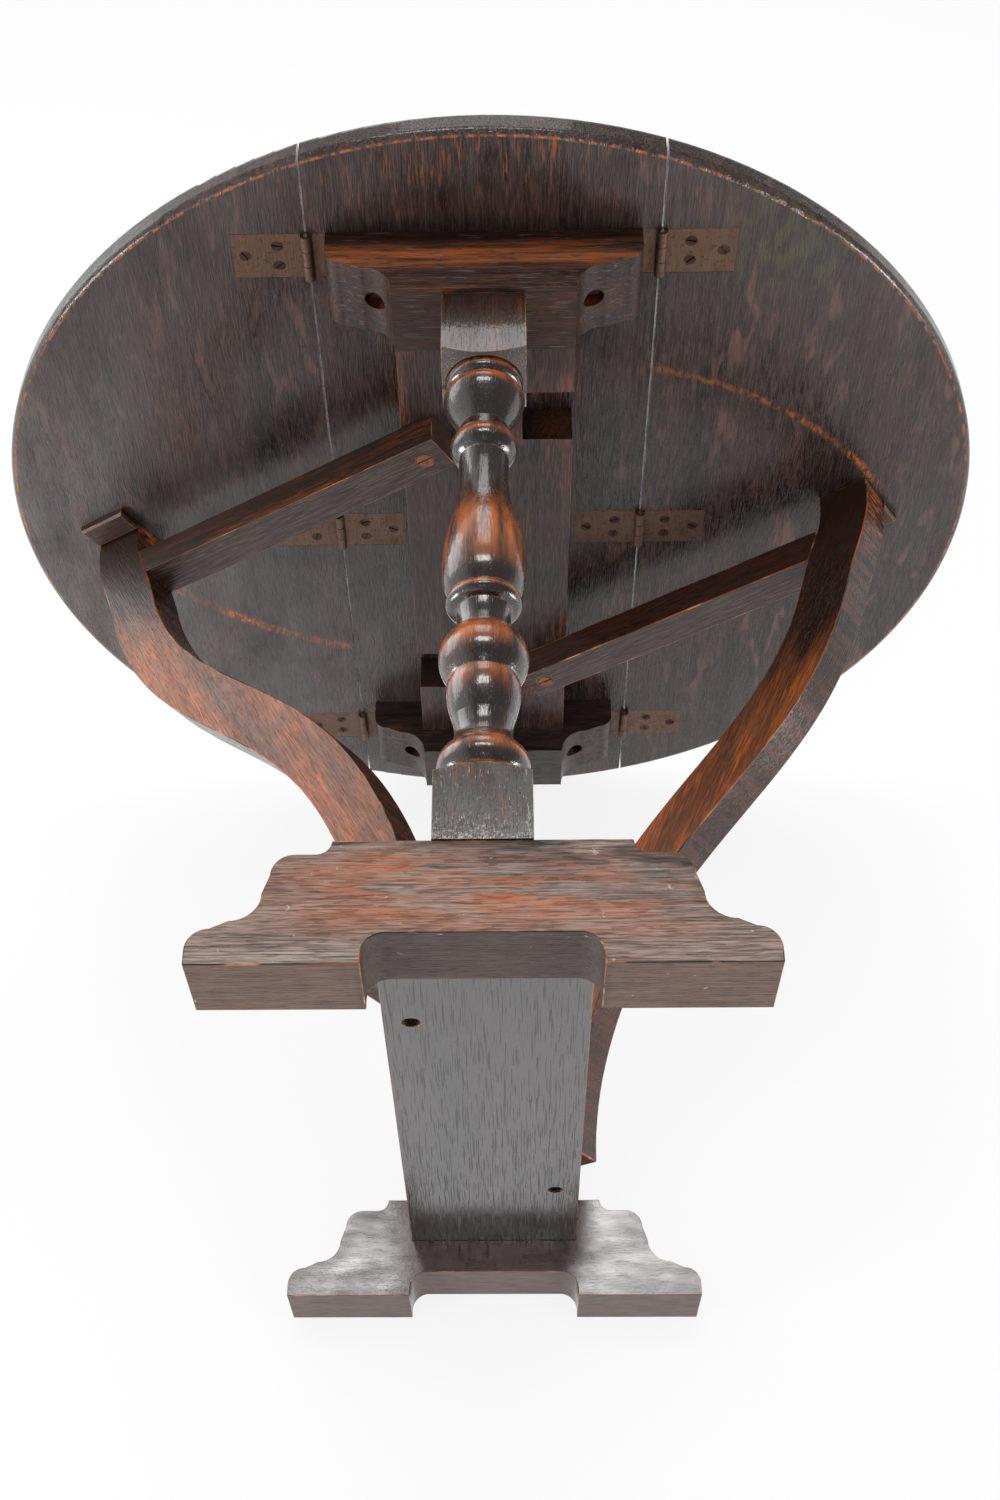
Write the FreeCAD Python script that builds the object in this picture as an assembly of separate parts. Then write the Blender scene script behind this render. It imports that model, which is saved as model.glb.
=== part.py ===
import FreeCAD, Part
import math
import os

# Drop leaf coffee table, up on its feet with both leaves raised on their open gates.
# Millimetres and degrees. The origin is on the floor under the centre of the round top,
# X runs along the bottom shelf, Y across the joints of the top and +Z points up.

Vec = FreeCAD.Vector
UP = Vec(0, 0, 1)
LENGTHWISE = Vec(1, 0, 0)
SIDES = {"left": -1, "right": 1}
ENDS = {"near": 1, "far": -1}

# Clearances
cut_overrun = 2.0
running_gap = 0.05
swing_gap = 0.3

# Round top: a centre board and two leaves with plain square joints
top_diameter = 600.0
top_thickness = 16.0
table_height = 455.0
lower_edge_round = 4.0
upper_edge_round = 5.0
centre_board_width = 191.0
leaf_joint_gap = 1.2

# Two bearers across the ends of the centre board
bearer_end_gap = 10.5
bearer_offset = 214.5
bearer_height = 44.0
bearer_end_drop_share = 0.41
bearer_end_round_share = 0.205
bearer_flat_share = 0.576
bearer_lip_rise_share = 0.09
bearer_screw_inset = 26.35
bearer_pocket_radius = 5.5
bearer_pocket_depth = 8.0
bearer_screw_head_radius = 4.6
bearer_screw_head_height = 2.6
bearer_screw_radius = 2.2
bearer_screw_grip_share = 0.56

# Square stock of the uprights, which stand on the feet and carry the bearers
post_square = 44.0
post_offset = 211.0
post_tenon_share = 0.25
post_tenon_length = 20.0

# Batten under the centre board, between the bearers
batten_half_width = 50.0
batten_thickness = 25.0
notch_clearance = 3.0

# Ogee sled feet
foot_length = 248.0
foot_height = 59.5
foot_thickness = 42.0
foot_toe_share = 0.168
foot_ramp_run_share = 0.13
foot_ramp_rise_share = 0.06
foot_cove_share = 0.22
foot_riser_share = 0.15
foot_riser_lean_share = 0.05
foot_shoulder_share = 0.17
foot_ledge_share = 0.15
foot_step_share = 0.11
foot_arch_half = 50.5
foot_arch_height = 14.5
foot_arch_radius = 10.0

# Bottom shelf, housed into both feet
shelf_half_width = 49.5
shelf_thickness = 16.0
shelf_underside = 34.0
shelf_housing_share = 0.6

# Gates: a straight arm under the batten and an S-shaped leg that stands on the shelf
gate_thickness = 25.0
gate_pivot_along = 108.0
gate_pivot_across = 36.0
left_gate_open_angle = 58.0
right_gate_open_angle = 56.0
gate_arm_height = 20.0
gate_arm_inner_reach = 13.0
gate_leg_width = 32.0
gate_leg_reach = 246.0
gate_tenon_thickness_share = 0.32
gate_tenon_height_share = 0.7
gate_dowel_radius = 4.5
gate_dowel_in_leg = 20.0
gate_dowel_in_shelf = 12.0
pivot_screw_radius = 2.5
pivot_screw_head_radius = 5.0
pivot_screw_head_height = 3.0
pivot_screw_in_batten = 14.0

# The leg's middle line from foot to top, as shares of its reach and of its height
leg_reach_shares = (0.02, 0.105, 0.25, 0.48, 0.72, 0.895, 0.968, 1.0)
leg_height_shares = (0.0, 0.235, 0.379, 0.512, 0.634, 0.79, 0.905, 1.0)

# Stop blocks under the leaves, which the open gates rest against
stop_length = 34.0
stop_width = 17.0
stop_thickness = 6.0
stop_chamfer_share = 0.2

# Back flap hinges let in flush under the top, three to each joint
hinge_plate_length = 41.0
hinge_plate_width = 30.0
hinge_plate_thickness = 2.0
hinge_knuckle_radius = 3.0
hinge_knuckle_clearance = 0.3
hinge_pin_radius = 1.2
hinge_pin_drop = 1.5
end_hinge_offset = 221.0
middle_hinge_offset = -3.5
hinge_near_screw_reach = 16.0
hinge_near_screw_spread = 6.6
hinge_outer_screw_reach = 34.0
hinge_screw_head_radius = 3.3
hinge_screw_head_height = 1.6
hinge_screw_radius = 1.5
hinge_screw_length_share = 0.72

# Slots in the screw heads, and the angle by which each is turned on from the last
screw_slot_width = 0.9
screw_slot_depth = 0.7
screw_slot_turn_angle = 50.0

# Turned stretch of the uprights, from the lower block to the upper one. Each point is a
# (radius, height) pair, as shares of half the square and of the turned length.
post_lower_block = 40.5
post_upper_block = 44.0
shoulder_drop_share = 0.23
shoulder_radius_share = 0.93
turning_shares = (
    ((0.84, 0.012),),
    ((0.97, 0.044), (0.77, 0.076)),
    ((0.67, 0.088), (0.615, 0.110), (0.655, 0.143)),
    ((0.73, 0.165), (0.80, 0.205), (0.77, 0.231)),
    ((0.973, 0.283), (0.68, 0.340)),
    ((0.61, 0.345),),
    ((0.59, 0.372), (0.62, 0.396)),
    ((0.70, 0.399),),
    ((0.84, 0.414), (0.76, 0.430)),
    ((0.86, 0.448), (0.936, 0.508), (0.82, 0.592), (0.655, 0.655), (0.56, 0.740), (0.585, 0.784)),
    ((0.78, 0.817), (0.59, 0.848)),
    ((0.565, 0.868),),
    ((0.72, 0.893), (0.92, 0.930), (0.955, 0.950), (0.89, 0.965)),
    ((0.78, 0.970),),
    ((0.92, 0.985), (0.84, 1.0)),
)

# Heights and places that follow from the sizes above
top_radius = top_diameter / 2
underside = table_height - top_thickness
joint_line = centre_board_width / 2
half_joint_gap = leaf_joint_gap / 2
bearer_bottom = underside - bearer_height
bearer_half = joint_line - bearer_end_gap
batten_bottom = underside - batten_thickness
batten_half_length = bearer_offset - post_square / 2
shelf_top = shelf_underside + shelf_thickness
post_tenon_radius = post_square * post_tenon_share
shelf_housing = (foot_thickness / 2 - post_tenon_radius) * shelf_housing_share
shelf_half_length = post_offset - foot_thickness / 2 + shelf_housing
arm_top = batten_bottom - swing_gap
arm_bottom = arm_top - gate_arm_height
leg_bottom = shelf_top + swing_gap
leg_top = underside - swing_gap
leg_middle_reach = gate_leg_reach - gate_leg_width / 2
hinge_axis_height = underside - hinge_pin_drop
hinge_screw_length = top_thickness * hinge_screw_length_share
plate_top = underside + hinge_plate_thickness
gate_open_angle = {"left": left_gate_open_angle, "right": right_gate_open_angle}
hinge_places = {"near": end_hinge_offset, "middle": middle_hinge_offset, "far": -end_hinge_offset}


def box_between(low, high):
    """Box from its low corner to its high corner."""
    size = Vec(*high) - Vec(*low)
    return Part.makeBox(size.x, size.y, size.z, Vec(*low))


def rod(radius, foot, length, direction=UP):
    """Round bar that starts at foot and runs along direction."""
    return Part.makeCylinder(radius, length, foot, direction)


def fused(shapes):
    """One solid made of shapes that touch or overlap."""
    whole = shapes[0]
    for shape in shapes[1:]:
        whole = whole.fuse(shape)
    return whole.removeSplitter()


def corner_arc(centre, radius, start_angle, end_angle):
    """Middle and end point of a round corner, for a step of an outline."""
    steps = []
    for angle in ((start_angle + end_angle) / 2, end_angle):
        turn = math.radians(angle)
        steps.append((centre[0] + radius * math.cos(turn), centre[1] + radius * math.sin(turn)))
    return tuple(steps)


def outline_face(start, steps, place):
    """Flat face inside an outline: a step of one point is a line, of two an arc, of more a curve."""
    edges = []
    at = place(*start)
    for step in steps:
        points = [place(*point) for point in step]
        if len(points) == 1:
            edges.append(Part.LineSegment(at, points[0]).toShape())
        elif len(points) == 2:
            edges.append(Part.Arc(at, points[0], points[1]).toShape())
        else:
            curve = Part.BSplineCurve()
            curve.interpolate([at] + points)
            edges.append(curve.toShape())
        at = points[-1]
    return Part.Face(Part.Wire(edges))


def across(along):
    """Places outline points (y, z) in the cross plane at x = along."""
    return lambda y, z: Vec(along, y, z)


def radially(r, z):
    """Places outline points (radius, height) for a turned shape."""
    return Vec(r, 0, z)


def mirrored_across(half):
    """Whole shape from the half on its +Y side."""
    return fused([half, half.mirror(Vec(0, 0, 0), Vec(0, 1, 0))])


def slotted_screw(head_radius, head_height, radius, length, slot_turn):
    """Countersunk wood screw with its head's flat at the origin and its shank pointing up."""
    head = Part.makeCone(head_radius, radius, head_height)
    shank = rod(radius, Vec(0, 0, 0), length)
    slot = box_between(
        (-head_radius, -screw_slot_width / 2, -screw_slot_depth),
        (head_radius, screw_slot_width / 2, screw_slot_depth),
    )
    slot.rotate(Vec(0, 0, 0), UP, slot_turn)
    return fused([head, shank]).cut(slot)


def screw_hole(head_radius, head_height, radius, length):
    """Countersunk hole for the same screw."""
    return fused([Part.makeCone(head_radius, radius, head_height), rod(radius, Vec(0, 0, 0), length)])


def hinge_screw_places(side, plate_side):
    """Three places for the screws of one plate, as (x from the hinge's middle, y)."""
    outward = SIDES[side] * plate_side
    seam = SIDES[side] * joint_line
    return [
        (-hinge_near_screw_spread, seam + outward * hinge_near_screw_reach),
        (hinge_near_screw_spread, seam + outward * hinge_near_screw_reach),
        (0.0, seam + outward * hinge_outer_screw_reach),
    ]


def hinge_screws(side, plate_side):
    """The screws that hold the three plates on one side of a joint."""
    screws = []
    for along in hinge_places.values():
        for offset, y in hinge_screw_places(side, plate_side):
            slot_turn = screw_slot_turn_angle * (len(screws) + 1)
            screw = slotted_screw(
                hinge_screw_head_radius, hinge_screw_head_height, hinge_screw_radius,
                hinge_screw_length, slot_turn,
            )
            screw.translate(Vec(along + offset, y, underside))
            screws.append(screw)
    return screws


def hinge_holes(side, plate_side):
    """Holes for those screws, through plate and board."""
    holes = []
    for along in hinge_places.values():
        for offset, y in hinge_screw_places(side, plate_side):
            hole = screw_hole(
                hinge_screw_head_radius, hinge_screw_head_height, hinge_screw_radius, hinge_screw_length
            )
            hole.translate(Vec(along + offset, y, underside))
            holes.append(hole)
    return holes


def knuckle_span(along, part):
    """Ends along X of one of the hinge's three knuckles, 0 to 2."""
    third = hinge_plate_width / 3
    low = along - hinge_plate_width / 2 + part * third
    inner_trim = hinge_knuckle_clearance / 2
    low_trim = inner_trim if part > 0 else 0
    high_trim = inner_trim if part < 2 else 0
    return low + low_trim, low + third - high_trim


def hinge_plate(side, along, plate_side):
    """One plate of a back flap hinge with its knuckles: the outer two, or the leaf's middle one."""
    own_parts = (1,) if plate_side > 0 else (0, 2)
    other_parts = (0, 2) if plate_side > 0 else (1,)
    seam = SIDES[side] * joint_line
    outward = SIDES[side] * plate_side
    half_width = hinge_plate_width / 2
    ends = sorted((seam + outward * half_joint_gap, seam + outward * hinge_plate_length))
    pieces = [box_between((along - half_width, ends[0], underside), (along + half_width, ends[1], plate_top))]
    for part in own_parts:
        low, high = knuckle_span(along, part)
        foot = Vec(low, seam, hinge_axis_height)
        pieces.append(rod(hinge_knuckle_radius, foot, high - low, LENGTHWISE))
    plate = fused(pieces)
    for part in other_parts:
        low, high = knuckle_span(along, part)
        low -= hinge_knuckle_clearance / 2
        high += hinge_knuckle_clearance / 2
        foot = Vec(low, seam, hinge_axis_height)
        room = hinge_knuckle_radius + hinge_knuckle_clearance
        plate = plate.cut(rod(room, foot, high - low, LENGTHWISE))
    bore_foot = Vec(along - half_width - cut_overrun, seam, hinge_axis_height)
    bore_length = hinge_plate_width + 2 * cut_overrun
    plate = plate.cut(rod(hinge_pin_radius + running_gap, bore_foot, bore_length, LENGTHWISE))
    for hole in hinge_holes(side, plate_side):
        plate = plate.cut(hole)
    return plate


def fixed_hinge_plate(side, along):
    """The centre board's plate of a hinge. At the ends, the bearer's screws pass through it."""
    plate = hinge_plate(side, along, -1)
    for place in bearer_screw_places():
        plate = plate.cut(rod(bearer_screw_radius, place, bearer_screw_top() - place.z))
    return plate


def hinge_pin(side, along):
    """Pin through the three knuckles of one hinge."""
    foot = Vec(along - hinge_plate_width / 2, SIDES[side] * joint_line, hinge_axis_height)
    return rod(hinge_pin_radius, foot, hinge_plate_width, LENGTHWISE)


def plate_recesses(side, plate_side):
    """Recesses that let the three plates and their knuckles into a board."""
    seam = SIDES[side] * joint_line
    outward = SIDES[side] * plate_side
    recesses = []
    for along in hinge_places.values():
        half_width = hinge_plate_width / 2 + hinge_knuckle_clearance / 2
        ends = sorted((seam, seam + outward * hinge_plate_length))
        low_corner = (along - half_width, ends[0], underside - cut_overrun)
        recesses.append(box_between(low_corner, (along + half_width, ends[1], plate_top)))
    return recesses


def whole_top():
    """The round top before it is sawn into three boards, with both its edges rounded over."""
    start = (0.0, underside)
    low_centre = (top_radius - lower_edge_round, underside + lower_edge_round)
    high_centre = (top_radius - upper_edge_round, table_height - upper_edge_round)
    steps = [
        ((low_centre[0], underside),),
        corner_arc(low_centre, lower_edge_round, -90, 0),
        ((top_radius, high_centre[1]),),
        corner_arc(high_centre, upper_edge_round, 0, 90),
        ((0.0, table_height),),
        (start,),
    ]
    return outline_face(start, steps, radially).revolve(Vec(0, 0, 0), UP, 360)


def board_of_top(low, high, cuts):
    """The part of the round top between two lines along X, less its cuts."""
    slice_box = box_between(
        (-top_diameter, low, underside - cut_overrun), (top_diameter, high, table_height + cut_overrun)
    )
    board = whole_top().common(slice_box)
    for cut in cuts:
        board = board.cut(cut)
    return board


def top_centre_board():
    """Middle board of the top, fixed to the bearers."""
    cuts = []
    for side in SIDES:
        cuts += plate_recesses(side, -1) + hinge_holes(side, -1)
    for place in bearer_screw_places():
        cuts.append(rod(bearer_screw_radius, place, bearer_screw_top() - place.z))
    half = joint_line - half_joint_gap
    return board_of_top(-half, half, cuts)


def leaf_board(side):
    """One drop leaf."""
    inner = joint_line + half_joint_gap
    ends = sorted((SIDES[side] * inner, SIDES[side] * top_diameter))
    return board_of_top(ends[0], ends[1], plate_recesses(side, 1) + hinge_holes(side, 1))


def bearer_lip_height():
    """Height of the bearer's lip where it meets the cove. From there it rises to the round end."""
    return underside - bearer_height * (bearer_end_drop_share + bearer_end_round_share)


def bearer_screw_top():
    """Height that the bearer screws reach inside the centre board."""
    return underside + top_thickness * bearer_screw_grip_share


def bearer_screw_places():
    """Mouths of the four screw pockets, on the underside of the bearers' ends."""
    places = []
    for end in ENDS.values():
        for side in SIDES.values():
            places.append(Vec(end * bearer_offset, side * (bearer_half - bearer_screw_inset), bearer_bottom))
    return places


def bearer_screw_seat():
    """Height of the bottom of a screw pocket."""
    return bearer_lip_height() + bearer_pocket_depth


def bearer(end):
    """Cross rail under the top, with ogee ends, screw pockets and the upright's mortise."""
    cove = bearer_lip_height() - bearer_bottom
    cove_start = bearer_half * bearer_flat_share + cove
    end_round = bearer_height * bearer_end_round_share
    end_foot = bearer_lip_height() + bearer_height * bearer_lip_rise_share + end_round
    start = (0.0, underside)
    steps = [
        ((bearer_half, underside),),
        ((bearer_half, end_foot),),
        corner_arc((bearer_half - end_round, end_foot), end_round, 0, -90),
        ((cove_start, bearer_lip_height()),),
        corner_arc((cove_start, bearer_bottom), cove, 90, 180),
        ((0.0, bearer_bottom),),
        (start,),
    ]
    inner_face = ENDS[end] * bearer_offset - post_square / 2
    half = outline_face(start, steps, across(inner_face)).extrude(Vec(post_square, 0, 0))
    rail = mirrored_across(half)
    for place in bearer_screw_places():
        rail = rail.cut(rod(bearer_pocket_radius, place, bearer_screw_seat() - place.z))
        rail = rail.cut(rod(bearer_screw_radius, place, bearer_screw_top() - place.z))
    mortise_foot = Vec(ENDS[end] * post_offset, 0, bearer_bottom)
    return rail.cut(rod(post_tenon_radius, mortise_foot, post_tenon_length))


def bearer_screws():
    """Screws from the pockets up into the centre board."""
    screws = []
    seat = bearer_screw_seat() - bearer_screw_places()[0].z
    grip_top = bearer_screw_top() - bearer_screw_places()[0].z
    head_foot = seat - bearer_screw_head_height
    for place in bearer_screw_places():
        head = rod(bearer_screw_head_radius, Vec(0, 0, head_foot), bearer_screw_head_height)
        shank = rod(bearer_screw_radius, Vec(0, 0, seat), grip_top - seat)
        slot = box_between(
            (-bearer_screw_head_radius, -screw_slot_width / 2, head_foot - cut_overrun),
            (bearer_screw_head_radius, screw_slot_width / 2, head_foot + screw_slot_depth),
        )
        screw = fused([head, shank]).cut(slot)
        screw.rotate(Vec(0, 0, 0), UP, screw_slot_turn_angle * (len(screws) + 1))
        screw.translate(place)
        screws.append(screw)
    return screws


def gate_pivot(side):
    """Foot of a gate's upright axis. The two gates are the same after half a turn about Z."""
    return Vec(-SIDES[side] * gate_pivot_along, SIDES[side] * gate_pivot_across, 0)


def closed_heading(side):
    """Direction of a closed gate, as an angle about Z from +X."""
    return 0 if side == "right" else 180


def turned_to_gate(shape, side, opening):
    """Moves a shape made along +X from a gate's axis to its place at an opening angle."""
    shape.rotate(Vec(0, 0, 0), UP, closed_heading(side) + opening)
    shape.translate(gate_pivot(side))
    return shape


def centre_batten():
    """Long board under the centre board, notched for the tops of the closed legs."""
    batten = box_between(
        (-batten_half_length, -batten_half_width, batten_bottom),
        (batten_half_length, batten_half_width, underside),
    )
    notch_start = gate_leg_reach - gate_leg_width - notch_clearance
    notch_side = -gate_thickness / 2 - notch_clearance
    for side in SIDES:
        notch = box_between(
            (notch_start, notch_side, batten_bottom - cut_overrun),
            (gate_leg_reach + notch_clearance, batten_half_width, underside),
        )
        batten = batten.cut(turned_to_gate(notch, side, 0))
        bore_foot = gate_pivot(side) + Vec(0, 0, batten_bottom)
        batten = batten.cut(rod(pivot_screw_radius, bore_foot, pivot_screw_in_batten))
    return batten


def shouldered_block(square_end, round_end):
    """Square block of an upright, its end next to the turning rounded into arched shoulders."""
    half = post_square / 2
    corner = half * math.sqrt(2)
    block = box_between((-half, -half, min(square_end, round_end)), (half, half, max(square_end, round_end)))
    drop = post_square / 2 * shoulder_drop_share
    shoulder = round_end - drop if round_end > square_end else round_end + drop
    start = (0.0, square_end)
    steps = [
        ((corner, square_end),),
        ((corner, shoulder),),
        ((half * shoulder_radius_share, round_end),),
        ((0.0, round_end),),
        (start,),
    ]
    return block.common(outline_face(start, steps, radially).revolve(Vec(0, 0, 0), UP, 360))


def upright(end):
    """Turned baluster with a square block and a round tenon at each end."""
    half = post_square / 2
    turned_low = foot_height + post_lower_block
    turned_high = bearer_bottom - post_upper_block
    turned_length = turned_high - turned_low
    start = (0.0, turned_low)
    steps = [((half * shoulder_radius_share, turned_low),)]
    for step in turning_shares:
        steps.append(tuple((half * r, turned_low + turned_length * z) for r, z in step))
    steps.append(((0.0, turned_high),))
    steps.append((start,))
    turned = outline_face(start, steps, radially).revolve(Vec(0, 0, 0), UP, 360)
    low_tenon = rod(post_tenon_radius, Vec(0, 0, foot_height - post_tenon_length), post_tenon_length)
    high_tenon = rod(post_tenon_radius, Vec(0, 0, bearer_bottom), post_tenon_length)
    post = fused([
        turned,
        shouldered_block(foot_height, turned_low),
        shouldered_block(bearer_bottom, turned_high),
        low_tenon,
        high_tenon,
    ])
    post.translate(Vec(ENDS[end] * post_offset, 0, 0))
    return post


def foot(end):
    """Sled foot: ogee ends, a rounded arch below, a housing for the shelf and the upright's mortise."""
    half_length = foot_length / 2
    toe = foot_height * foot_toe_share
    cove = foot_height * foot_cove_share
    shoulder = foot_height * foot_shoulder_share
    step = foot_height * foot_step_share
    ledge_height = foot_height - step
    riser_top = ledge_height - shoulder
    cove_top = riser_top - foot_height * foot_riser_share
    ramp_top = cove_top - cove
    toe_top = ramp_top - foot_height * foot_ramp_rise_share
    nose = toe_top - toe
    toe_middle = half_length - toe
    cove_middle = toe_middle - foot_height * foot_ramp_run_share
    shoulder_middle = cove_middle - cove - foot_height * foot_riser_lean_share - shoulder
    step_middle = shoulder_middle - foot_height * foot_ledge_share
    arch_corner = foot_arch_half - foot_arch_radius
    start = (0.0, foot_arch_height)
    steps = [
        ((arch_corner, foot_arch_height),),
        corner_arc((arch_corner, foot_arch_height - foot_arch_radius), foot_arch_radius, 90, 0),
        ((foot_arch_half, 0.0),),
        ((half_length, 0.0),),
        ((half_length, nose),),
        corner_arc((toe_middle, nose), toe, 0, 90),
        ((cove_middle, ramp_top),),
        corner_arc((cove_middle, cove_top), cove, 270, 180),
        ((shoulder_middle + shoulder, riser_top),),
        corner_arc((shoulder_middle, riser_top), shoulder, 0, 90),
        ((step_middle, ledge_height),),
        corner_arc((step_middle, foot_height), step, 270, 180),
        ((0.0, foot_height),),
        (start,),
    ]
    back_face = ENDS[end] * post_offset - foot_thickness / 2
    half = outline_face(start, steps, across(back_face)).extrude(Vec(foot_thickness, 0, 0))
    sled = mirrored_across(half)
    mortise_foot = Vec(ENDS[end] * post_offset, 0, foot_height - post_tenon_length)
    sled = sled.cut(rod(post_tenon_radius, mortise_foot, post_tenon_length))
    return sled.cut(shelf_blank())


def shelf_blank():
    """The bottom shelf before it is bored."""
    return box_between(
        (-shelf_half_length, -shelf_half_width, shelf_underside),
        (shelf_half_length, shelf_half_width, shelf_top),
    )


def shelf_board():
    """Bottom shelf, bored right through for the dowels that the gates turn on."""
    shelf = shelf_blank()
    for side in SIDES:
        bore_foot = gate_pivot(side) + Vec(0, 0, shelf_underside)
        shelf = shelf.cut(rod(gate_dowel_radius + running_gap, bore_foot, shelf_thickness))
    return shelf


def leg_middle_line():
    """The S-shaped middle line of a leg, upright at both ends, in the plane y = 0."""
    height = leg_top - leg_bottom
    points = []
    for reach_share, height_share in zip(leg_reach_shares, leg_height_shares):
        points.append(Vec(leg_middle_reach * reach_share, 0, leg_bottom + height * height_share))
    line = Part.BSplineCurve()
    line.interpolate(Points=points, InitialTangent=UP, FinalTangent=UP)
    return line


def leg_blank():
    """Leg board before its mortise: the middle line widened to both sides and given its thickness."""
    line = leg_middle_line()
    edges = {1: [], -1: []}
    stations = 2 * len(leg_reach_shares)
    for step in range(stations + 1):
        at = line.FirstParameter + (line.LastParameter - line.FirstParameter) * step / stations
        along = line.tangent(at)[0]
        for hand in edges:
            outward = Vec(along.z, 0, -along.x) * (hand * gate_leg_width / 2)
            edges[hand].append(line.value(at) + outward)
    outer = edges[1]
    inner = list(reversed(edges[-1]))
    sides = []
    for points in (outer, inner):
        curve = Part.BSplineCurve()
        curve.interpolate(points)
        sides.append(curve.toShape())
    top = Part.LineSegment(outer[-1], inner[0]).toShape()
    bottom = Part.LineSegment(inner[-1], outer[0]).toShape()
    face = Part.Face(Part.Wire([sides[0], top, sides[1], bottom]))
    face.translate(Vec(0, -gate_thickness / 2, 0))
    return face.extrude(Vec(0, gate_thickness, 0))


def gate_tenon():
    """Tenon on the arm's outer end, inside the leg."""
    middle = (arm_bottom + arm_top) / 2
    half_height = gate_arm_height * gate_tenon_height_share / 2
    half_thickness = gate_thickness * gate_tenon_thickness_share / 2
    inner_edge = leg_middle_reach - gate_leg_width
    return box_between(
        (inner_edge, -half_thickness, middle - half_height),
        (leg_middle_reach, half_thickness, middle + half_height),
    )


def gate_arm(side):
    """Straight arm that swings under the batten, bored and countersunk for its pivot screw."""
    arm = box_between(
        (-gate_arm_inner_reach, -gate_thickness / 2, arm_bottom),
        (leg_middle_reach, gate_thickness / 2, arm_top),
    )
    arm = fused([arm.cut(leg_blank()), gate_tenon()])
    bore_foot = Vec(0, 0, arm_bottom - cut_overrun)
    bore = rod(pivot_screw_radius + running_gap, bore_foot, gate_arm_height + 2 * cut_overrun)
    sink = Part.makeCone(
        pivot_screw_head_radius + swing_gap, pivot_screw_radius + running_gap,
        pivot_screw_head_height + swing_gap, Vec(0, 0, arm_bottom),
    )
    return turned_to_gate(arm.cut(bore).cut(sink), side, gate_open_angle[side])


def gate_leg(side):
    """S-shaped leg, mortised for the arm and bored for its dowel."""
    leg = leg_blank().cut(gate_tenon())
    leg = leg.cut(rod(gate_dowel_radius, Vec(0, 0, leg_bottom), gate_dowel_in_leg))
    return turned_to_gate(leg, side, gate_open_angle[side])


def gate_dowel(side):
    """Dowel fixed in the leg's foot, which turns in the shelf."""
    foot_of_dowel = gate_pivot(side) + Vec(0, 0, shelf_top - gate_dowel_in_shelf)
    return rod(gate_dowel_radius, foot_of_dowel, gate_dowel_in_shelf + swing_gap + gate_dowel_in_leg)


def gate_pivot_screw(side):
    """Screw from below through the arm into the batten, on the gate's axis."""
    length = batten_bottom + pivot_screw_in_batten - arm_bottom
    screw = slotted_screw(
        pivot_screw_head_radius, pivot_screw_head_height, pivot_screw_radius, length, gate_open_angle[side]
    )
    screw.translate(gate_pivot(side) + Vec(0, 0, arm_bottom))
    return screw


def stop_block(side):
    """Block glued under a leaf, which the open gate's leg rests against."""
    low_reach = gate_leg_reach - gate_leg_width / 2 - stop_length / 2
    near_face = gate_thickness / 2 + swing_gap
    block = box_between(
        (low_reach, near_face, underside - stop_thickness),
        (low_reach + stop_length, near_face + stop_width, underside),
    )
    lower_edges = [edge for edge in block.Edges if edge.BoundBox.ZMax < underside - stop_thickness / 2]
    block = block.makeChamfer(stop_thickness * stop_chamfer_share, lower_edges)
    return turned_to_gate(block, side, gate_open_angle[side])


def table():
    """Every piece of the table by its name."""
    nodes = {"top_centre_board": top_centre_board(), "centre_batten": centre_batten()}
    for end in ENDS:
        nodes["bearer_" + end] = bearer(end)
        nodes["baluster_" + end] = upright(end)
        nodes["foot_" + end] = foot(end)
    nodes["shelf_board"] = shelf_board()
    nodes["bearer_screws"] = Part.makeCompound(bearer_screws())
    fixed_screws = []
    for side in SIDES:
        nodes["leaf_board_" + side] = leaf_board(side)
        nodes["stop_block_" + side] = stop_block(side)
        nodes["gate_arm_" + side] = gate_arm(side)
        nodes["gate_leg_" + side] = gate_leg(side)
        nodes["gate_dowel_" + side] = gate_dowel(side)
        nodes["gate_pivot_screw_" + side] = gate_pivot_screw(side)
        nodes["hinge_screws_leaf_" + side] = Part.makeCompound(hinge_screws(side, 1))
        fixed_screws += hinge_screws(side, -1)
        for place, along in hinge_places.items():
            name = side + "_" + place
            nodes["hinge_plate_fixed_" + name] = fixed_hinge_plate(side, along)
            nodes["hinge_plate_leaf_" + name] = hinge_plate(side, along, 1)
            nodes["hinge_pin_" + name] = hinge_pin(side, along)
    nodes["hinge_screws_centre"] = Part.makeCompound(fixed_screws)
    return nodes


os.makedirs("parts", exist_ok=True)
for node_name, node_shape in table().items():
    if not node_shape.isValid():
        print("not valid:", node_name)
    node_shape.exportStep("parts/" + node_name + ".step")
    print(node_name, len(node_shape.Solids), round(node_shape.Volume))
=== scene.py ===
import bpy
import math
from mathutils import Matrix, Vector

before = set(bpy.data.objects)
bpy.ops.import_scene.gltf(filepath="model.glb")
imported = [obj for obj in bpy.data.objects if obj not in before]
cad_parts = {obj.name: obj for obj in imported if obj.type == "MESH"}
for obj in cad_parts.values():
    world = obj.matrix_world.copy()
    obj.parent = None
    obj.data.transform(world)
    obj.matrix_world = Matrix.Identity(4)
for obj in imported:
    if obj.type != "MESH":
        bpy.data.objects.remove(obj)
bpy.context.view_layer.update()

# Drop leaf coffee table in fumed oak with aged brass hinges, seen from below and in front.
# Metres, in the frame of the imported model: X along the shelf, Y across the top's joints, Z up.
# Places and sizes of marks and lamps are in millimetres where their name or comment says so.

MM = 0.001
ALONG_X, ALONG_Y, UP = (1, 0, 0), (0, 1, 0), (0, 0, 1)

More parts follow.
